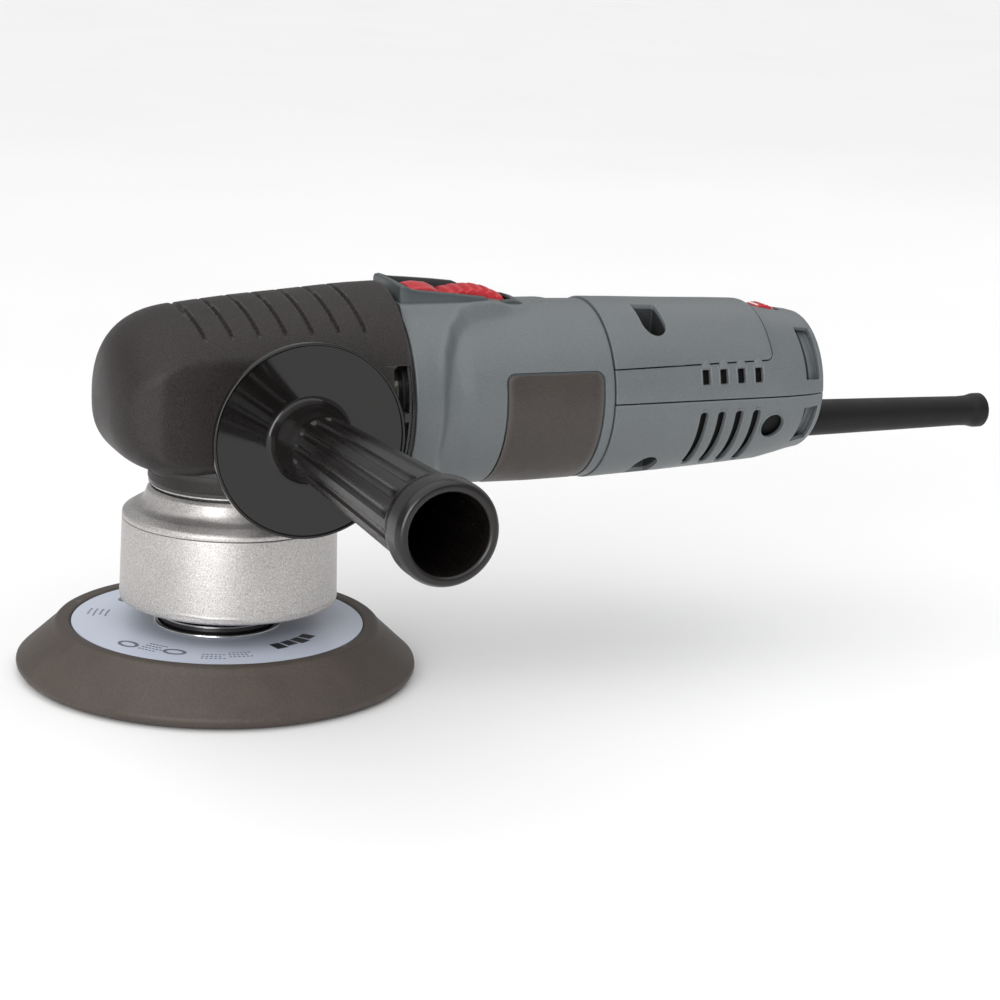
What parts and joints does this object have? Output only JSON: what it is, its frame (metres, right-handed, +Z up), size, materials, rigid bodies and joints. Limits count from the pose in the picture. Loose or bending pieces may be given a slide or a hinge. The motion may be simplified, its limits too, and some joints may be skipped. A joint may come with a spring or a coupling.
{
  "type": "dual action polisher",
  "caption": "Random orbit polisher with motor body, gear head, metal shroud, eccentric drive, free spinning backing pad, side handle, slide switch and speed dial.",
  "frame": {"origin": "main spindle axis at the pad's working face", "axes": "+Z up along the spindle, +X to the rear along the motor body and cord boot, side handle towards -Y"},
  "size_m": [0.4172, 0.2642, 0.1506],
  "materials": {
    "pad_urethane": "matte",
    "vinyl": "satin",
    "black_nylon": "matte",
    "label_film": "satin",
    "bright_steel": "satin",
    "dark_steel": "satin",
    "cast_alloy": "satin",
    "black_alloy": "matte",
    "bearing_steel": "polished",
    "gear_steel": "satin",
    "lamination": "matte",
    "copper": "satin",
    "brass": "satin",
    "carbon": "matte",
    "felt": "matte",
    "black_cover": "matte",
    "gloss_black": "gloss",
    "gray_plastic": "satin",
    "bezel_plastic": "satin",
    "brown_panel": "satin",
    "red_plastic": "satin",
    "boot_rubber": "satin",
    "white_nylon": "satin",
    "board": "satin"
  },
  "bodies": {
    "housing": {"gear_case": "black_alloy", "head_cover": "black_cover", "bearing_retainer": "cast_alloy", "felt_seal": "felt", "lower_spindle_bearing": "bearing_steel", "upper_spindle_bearing": "bearing_steel", "shroud_cap": "cast_alloy", "shroud_skirt": "cast_alloy", "shroud_screws": "bright_steel", "handle_bushings": "brass", "side_handle": "gloss_black", "handle_stud": "bright_steel", "front_motor_bearing": "bearing_steel", "rear_motor_bearing": "bearing_steel", "bearing_sleeve": "boot_rubber", "fan_baffle": "black_nylon", "motor_housing": "gray_plastic", "case_screws": "bright_steel", "badge_panel": "brown_panel", "switch_bezel": "bezel_plastic", "stator_core": "lamination", "field_coils": "copper", "left_brush_holder": "brass", "right_brush_holder": "brass", "carbon_brushes": "carbon", "brush_springs": "bright_steel", "switch_module": "black_nylon", "speed_control": "board", "rear_housing_lower": "gray_plastic", "rear_housing_upper": "gray_plastic", "top_cover": "gray_plastic", "rear_screws": "dark_steel", "cord_boot": "boot_rubber"},
    "spindle": {"spindle": "bright_steel", "bevel_gear": "gear_steel", "gear_key": "bright_steel", "gear_clip": "dark_steel", "eccentric_carrier": "dark_steel", "counterweight": "gear_steel", "counterweight_screws": "bright_steel", "eccentric_bolt": "bright_steel", "lower_arbor_bearing": "bearing_steel", "upper_arbor_bearing": "bearing_steel", "bearing_clip": "dark_steel"},
    "pad": {"backing_pad": "pad_urethane", "pad_face": "vinyl", "backing_plate": "black_nylon", "pad_label": "label_film", "pad_stud": "bright_steel", "pad_flange": "dark_steel", "arbor": "bright_steel"},
    "armature": {"armature_shaft": "bright_steel", "pinion_gear": "gear_steel", "armature_core": "lamination", "armature_windings": "copper", "commutator": "copper", "cooling_fan": "white_nylon"},
    "switch": {"switch_slider": "red_plastic", "switch_link": "black_nylon"},
    "dial": {"speed_dial": "red_plastic"}
  },
  "joints": [
    {"name": "spindle_spin", "type": "hinge", "parent": "housing", "child": "spindle", "pos_m": [0, 0, 0.06], "axis": [0, 0, 1], "continuous": true},
    {"name": "pad_spin", "type": "hinge", "parent": "spindle", "child": "pad", "pos_m": [-0.00397, 0, 0.02], "axis": [0, 0, 1], "continuous": true},
    {"name": "armature_spin", "type": "hinge", "parent": "housing", "child": "armature", "pos_m": [0.1, 0, 0.1045], "axis": [1, 0, 0], "continuous": true},
    {"name": "switch_slide", "type": "slide", "parent": "housing", "child": "switch", "axis": [-1, 0, 0], "range_m": [0, 0.0045]},
    {"name": "dial_turn", "type": "hinge", "parent": "housing", "child": "dial", "pos_m": [0.2225, 0, 0.1282], "axis": [0, 1, 0], "range_deg": [-135, 135]}
  ],
  "couplings": [
    {"joint": "armature_spin", "follows": "spindle_spin", "ratio": 3.4167}
  ]
}
